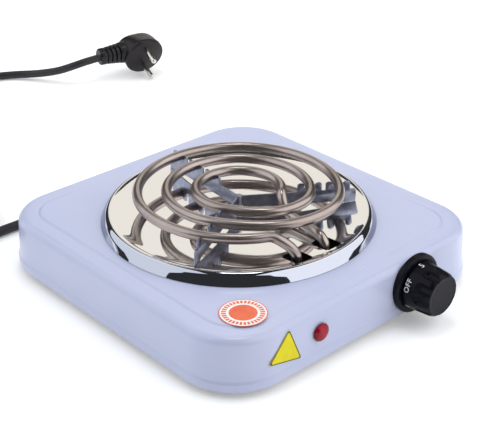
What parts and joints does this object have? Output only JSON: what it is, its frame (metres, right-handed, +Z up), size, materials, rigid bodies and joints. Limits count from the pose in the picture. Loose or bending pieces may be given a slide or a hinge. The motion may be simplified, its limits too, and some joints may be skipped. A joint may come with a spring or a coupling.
{
  "type": "hot plate burner",
  "caption": "Square countertop hot plate with a spiral tubular heating coil over a polished drip bowl, a rotary heat control, an indicator lamp and a mains lead.",
  "frame": {"origin": "on the surface the feet stand on, under the middle of the appliance's bounding box, knob included and cord left out", "axes": "+X to the right seen from the front, +Y to the back, away from the control knob, +Z up"},
  "size_m": [0.361, 0.5582, 0.0632],
  "materials": {
    "white_enamel": "powder coat, softly glossy",
    "chrome": "polished mirror",
    "element_steel": "satin, warm grey",
    "galvanised_steel": "galvanised, satin",
    "zinc_steel": "zinc plated",
    "brass": "bare",
    "black_plastic": "moulded, satin",
    "red_lens": "glossy, faintly clear",
    "ceramic": "unglazed ceramic",
    "black_rubber": "matte",
    "orange_label": "printed film",
    "yellow_label": "printed film",
    "cord_jacket": "satin",
    "cord_tie": "satin",
    "brown_wire": "satin",
    "blue_wire": "satin",
    "earth_wire_jacket": "satin, green and yellow",
    "nickel_pin": "nickel plated"
  },
  "bodies": {
    "housing": {"housing_shell": "white_enamel", "drip_bowl": "chrome", "heating_coil": "element_steel", "support_arm_right": "galvanised_steel", "support_arm_rear": "galvanised_steel", "support_arm_front": "galvanised_steel", "support_hub": "galvanised_steel", "bimetal_blade": "galvanised_steel", "base_plate": "zinc_steel", "left_rail": "zinc_steel", "right_rail": "zinc_steel", "foot_screw_front_left": "zinc_steel", "foot_screw_front_right": "zinc_steel", "foot_screw_rear_left": "zinc_steel", "foot_screw_rear_right": "zinc_steel", "bowl_strap": "zinc_steel", "bowl_screw": "zinc_steel", "bowl_nut": "zinc_steel", "terminal_pin_one": "zinc_steel", "terminal_pin_two": "zinc_steel", "bush_nut": "zinc_steel", "thermostat_bracket": "zinc_steel", "lamp_clip": "zinc_steel", "clamp_screw": "zinc_steel", "thermostat_bush": "brass", "fixed_leaf": "brass", "earth_screw": "brass", "knob_bezel": "black_plastic", "cord_clamp": "black_plastic", "strain_relief": "black_plastic", "plug_body": "black_plastic", "indicator_lens": "red_lens", "terminal_seal_one": "ceramic", "terminal_seal_two": "ceramic", "ceramic_stack": "ceramic", "lamp_body": "ceramic", "foot_front_left": "black_rubber", "foot_front_right": "black_rubber", "foot_rear_left": "black_rubber", "foot_rear_right": "black_rubber", "round_label": "orange_label", "triangle_label": "yellow_label", "power_cord": "cord_jacket", "plug_cord": "cord_jacket", "cord_coil": "cord_jacket", "cord_sheath": "cord_jacket", "cord_tie": "cord_tie", "live_wire": "brown_wire", "switched_wire": "brown_wire", "lamp_lead_one": "brown_wire", "neutral_wire": "blue_wire", "lamp_lead_two": "blue_wire", "earth_wire": "earth_wire_jacket", "plug_pin_upper": "nickel_pin", "plug_pin_lower": "nickel_pin"},
    "knob": {"knob": "black_plastic", "control_spindle": "zinc_steel"},
    "adjuster": {"adjuster_pin": "ceramic"},
    "leaf": {"contact_leaf": "brass"}
  },
  "joints": [
    {"name": "knob_turn", "type": "hinge", "parent": "housing", "child": "knob", "pos_m": [0.0414, -0.10715, 0.0232], "axis": [0, -1, 0], "range_deg": [0, 300]},
    {"name": "adjuster_slide", "type": "slide", "parent": "housing", "child": "adjuster", "axis": [0, -1, 0], "range_m": [0, 0.0011]},
    {"name": "leaf_flex", "type": "hinge", "parent": "housing", "child": "leaf", "pos_m": [0.057, -0.0891, 0.0232], "axis": [0, 0, 1], "range_deg": [0, 4.2]}
  ],
  "couplings": [
    {"joint": "adjuster_slide", "follows": "knob_turn", "m_per_rad": 0.000191},
    {"joint": "leaf_flex", "follows": "knob_turn", "ratio": 0.01222}
  ]
}
